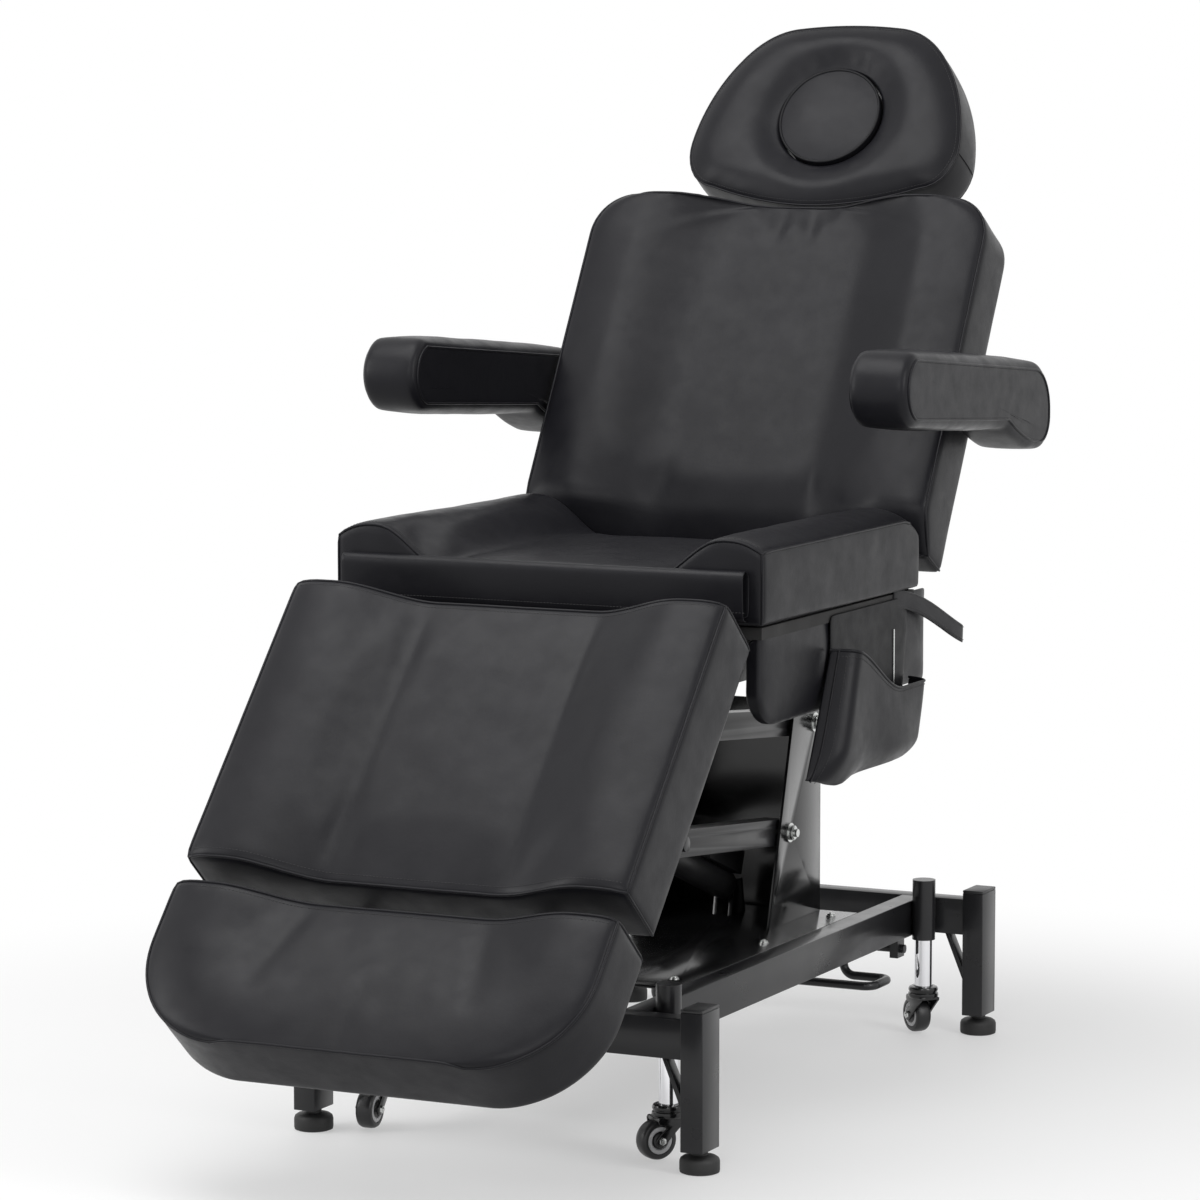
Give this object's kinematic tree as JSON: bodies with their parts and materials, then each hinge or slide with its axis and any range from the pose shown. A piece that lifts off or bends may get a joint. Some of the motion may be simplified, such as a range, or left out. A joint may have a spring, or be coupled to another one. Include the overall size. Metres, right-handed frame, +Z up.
{
  "type": "beauty bed",
  "caption": "Electric beauty bed: padded seat, reclining back, leg, foot and head rests, swing-up arm rests, link lift on a post base with lowering casters, hand control.",
  "frame": {"origin": "on the floor, under the middle of the whole bed's length and width as it stands at rest", "axes": "+Z up, -Y to the foot end, +Y to the head end, +X to the right as seen from the foot end"},
  "size_m": [0.78, 1.5752, 1.4021],
  "materials": {
    "black_steel": "gloss",
    "bright_steel": "polished",
    "zinc": "satin",
    "upholstery": "satin",
    "board": "matte",
    "black_plastic": "satin",
    "glide": "matte",
    "caster": "satin",
    "button": "satin",
    "cord": "satin"
  },
  "bodies": {
    "base": {"side_rails": "black_steel", "cross_rails": "black_steel", "leg_posts": "black_steel", "post_caps": "black_plastic", "glide_feet": "glide", "base_tray": "black_steel", "column": "black_steel", "column_bolts": "zinc", "caster_sockets": "black_steel", "pedal_lugs": "black_steel"},
    "lower_arm": {"lower_arm": "black_steel"},
    "upper_arm": {"upper_arm": "black_steel"},
    "lift_drive": {"lift_drive": "black_plastic"},
    "lift_rod": {"lift_rod": "bright_steel"},
    "seat": {"seat_frame": "black_steel", "lift_brackets": "black_steel", "seat_board": "board", "seat_cushion": "upholstery", "side_skirts": "upholstery", "gap_flap": "upholstery", "side_pocket": "upholstery", "pull_strap": "upholstery", "control_box": "black_plastic", "handset_holder": "black_plastic", "handset_case": "black_plastic", "handset_cord": "cord", "back_drive": "black_plastic", "leg_drive": "black_plastic"},
    "back": {"back_frame": "black_steel", "back_board": "board", "back_cushion": "upholstery"},
    "back_rod": {"back_rod": "bright_steel"},
    "leg": {"leg_frame": "black_steel", "leg_board": "board", "leg_cushion": "upholstery"},
    "leg_rod": {"leg_rod": "bright_steel"},
    "foot": {"foot_frame": "black_steel", "foot_cushion": "upholstery"},
    "head_slider": {"head_rods": "bright_steel"},
    "head": {"head_bracket": "black_steel", "head_cushion": "upholstery"},
    "plug": {"face_plug": "upholstery"},
    "arm_left": {"armrest_left": "upholstery"},
    "arm_right": {"armrest_right": "upholstery"},
    "pedal": {"pedal": "black_steel"},
    "caster_lift": {"caster_rods": "bright_steel"},
    "swivel_1": {"caster_fork_1": "black_steel"},
    "wheel_1": {"caster_wheel_1": "caster"},
    "swivel_2": {"caster_fork_2": "black_steel"},
    "wheel_2": {"caster_wheel_2": "caster"},
    "swivel_3": {"caster_fork_3": "black_steel"},
    "wheel_3": {"caster_wheel_3": "caster"},
    "swivel_4": {"caster_fork_4": "black_steel"},
    "wheel_4": {"caster_wheel_4": "caster"},
    "button_1": {"button_1": "button"},
    "button_2": {"button_2": "button"},
    "button_3": {"button_3": "button"},
    "button_4": {"button_4": "button"},
    "button_5": {"button_5": "button"},
    "button_6": {"button_6": "button"}
  },
  "joints": [
    {"name": "lift", "type": "hinge", "parent": "base", "child": "lower_arm", "pos_m": [0, 0.284, 0.313], "axis": [-1, 0, 0], "range_deg": [-8, 36]},
    {"name": "upper_arm_turn", "type": "hinge", "parent": "base", "child": "upper_arm", "pos_m": [0, 0.366, 0.454], "axis": [-1, 0, 0], "range_deg": [-8, 36]},
    {"name": "seat_level", "type": "hinge", "parent": "lower_arm", "child": "seat", "pos_m": [0, -0.04442, 0.3452], "axis": [-1, 0, 0], "range_deg": [-36, 8]},
    {"name": "lift_drive_turn", "type": "hinge", "parent": "base", "child": "lift_drive", "pos_m": [0, 0.315, 0.225], "axis": [-1, 0, 0], "range_deg": [-6.5, 29]},
    {"name": "lift_rod_slide", "type": "slide", "parent": "lift_drive", "child": "lift_rod", "axis": [0, -0.9371, 0.349], "range_m": [-0.0085, 0.037]},
    {"name": "back_recline", "type": "hinge", "parent": "seat", "child": "back", "pos_m": [0, 0.332, 0.66], "axis": [1, 0, 0], "range_deg": [-60, 10]},
    {"name": "back_rod_slide", "type": "slide", "parent": "seat", "child": "back_rod", "axis": [0, 1, 0], "range_m": [-0.069, 0.012]},
    {"name": "leg_raise", "type": "hinge", "parent": "seat", "child": "leg", "pos_m": [0, -0.257, 0.645], "axis": [-1, 0, 0], "range_deg": [-8, 48]},
    {"name": "leg_rod_slide", "type": "slide", "parent": "seat", "child": "leg_rod", "axis": [0, -1, 0], "range_m": [-0.0098, 0.0565]},
    {"name": "foot_slide", "type": "slide", "parent": "leg", "child": "foot", "axis": [0, -0.6652, -0.7466], "range_m": [0, 0.1]},
    {"name": "head_slide", "type": "slide", "parent": "back", "child": "head_slider", "axis": [0, 0.5, 0.866], "range_m": [0, 0.08]},
    {"name": "head_tilt", "type": "hinge", "parent": "head_slider", "child": "head", "pos_m": [0, 0.68636, 1.15977], "axis": [1, 0, 0], "range_deg": [-30, 3]},
    {"name": "plug_slide", "type": "slide", "parent": "head", "child": "plug", "axis": [0, -0.866, 0.5], "range_m": [0, 0.06]},
    {"name": "arm_left_swing", "type": "hinge", "parent": "back", "child": "arm_left", "pos_m": [-0.31, 0.48198, 0.85977], "axis": [-1, 0, 0], "range_deg": [-20, 90]},
    {"name": "arm_right_swing", "type": "hinge", "parent": "back", "child": "arm_right", "pos_m": [0.31, 0.48198, 0.85977], "axis": [-1, 0, 0], "range_deg": [-20, 90]},
    {"name": "pedal_press", "type": "hinge", "parent": "base", "child": "pedal", "pos_m": [0, 0.496, 0.124], "axis": [1, 0, 0], "range_deg": [0, 20]},
    {"name": "caster_lower", "type": "slide", "parent": "base", "child": "caster_lift", "axis": [0, 0, -1], "range_m": [0, 0.0141]},
    {"name": "caster_swivel_1", "type": "hinge", "parent": "caster_lift", "child": "swivel_1", "pos_m": [0.206, 0.518, 0], "axis": [0, 0, 1], "continuous": true},
    {"name": "caster_roll_1", "type": "hinge", "parent": "swivel_1", "child": "wheel_1", "pos_m": [0.19221, 0.52957, 0.027], "axis": [-0.6428, -0.766, 0], "continuous": true},
    {"name": "caster_swivel_2", "type": "hinge", "parent": "caster_lift", "child": "swivel_2", "pos_m": [-0.206, 0.518, 0], "axis": [0, 0, 1], "continuous": true},
    {"name": "caster_roll_2", "type": "hinge", "parent": "swivel_2", "child": "wheel_2", "pos_m": [-0.19041, 0.527, 0.027], "axis": [-0.5, 0.866, 0], "continuous": true},
    {"name": "caster_swivel_3", "type": "hinge", "parent": "caster_lift", "child": "swivel_3", "pos_m": [0.206, -0.318, 0], "axis": [0, 0, 1], "continuous": true},
    {"name": "caster_roll_3", "type": "hinge", "parent": "swivel_3", "child": "wheel_3", "pos_m": [0.19593, -0.33292, 0.027], "axis": [0.829, -0.5592, 0], "continuous": true},
    {"name": "caster_swivel_4", "type": "hinge", "parent": "caster_lift", "child": "swivel_4", "pos_m": [-0.206, -0.318, 0], "axis": [0, 0, 1], "continuous": true},
    {"name": "caster_roll_4", "type": "hinge", "parent": "swivel_4", "child": "wheel_4", "pos_m": [-0.20443, -0.33593, 0.027], "axis": [0.9962, 0.0872, 0], "continuous": true},
    {"name": "button_1_press", "type": "slide", "parent": "seat", "child": "button_1", "axis": [1, 0, 0], "range_m": [0, 0.001], "stiffness_N_per_m": 1500},
    {"name": "button_2_press", "type": "slide", "parent": "seat", "child": "button_2", "axis": [1, 0, 0], "range_m": [0, 0.001], "stiffness_N_per_m": 1500},
    {"name": "button_3_press", "type": "slide", "parent": "seat", "child": "button_3", "axis": [1, 0, 0], "range_m": [0, 0.001], "stiffness_N_per_m": 1500},
    {"name": "button_4_press", "type": "slide", "parent": "seat", "child": "button_4", "axis": [1, 0, 0], "range_m": [0, 0.001], "stiffness_N_per_m": 1500},
    {"name": "button_5_press", "type": "slide", "parent": "seat", "child": "button_5", "axis": [1, 0, 0], "range_m": [0, 0.001], "stiffness_N_per_m": 1500},
    {"name": "button_6_press", "type": "slide", "parent": "seat", "child": "button_6", "axis": [1, 0, 0], "range_m": [0, 0.001], "stiffness_N_per_m": 1500}
  ],
  "couplings": [
    {"joint": "upper_arm_turn", "follows": "lift", "ratio": 1},
    {"joint": "seat_level", "follows": "lift", "ratio": -1},
    {"joint": "lift_drive_turn", "follows": "lift", "ratio": 0.794},
    {"joint": "lift_rod_slide", "follows": "lift", "m_per_rad": 0.05775},
    {"joint": "back_rod_slide", "follows": "back_recline", "m_per_rad": 0.0651},
    {"joint": "leg_rod_slide", "follows": "leg_raise", "m_per_rad": 0.0669},
    {"joint": "caster_lower", "follows": "pedal_press", "m_per_rad": 0.0401}
  ]
}
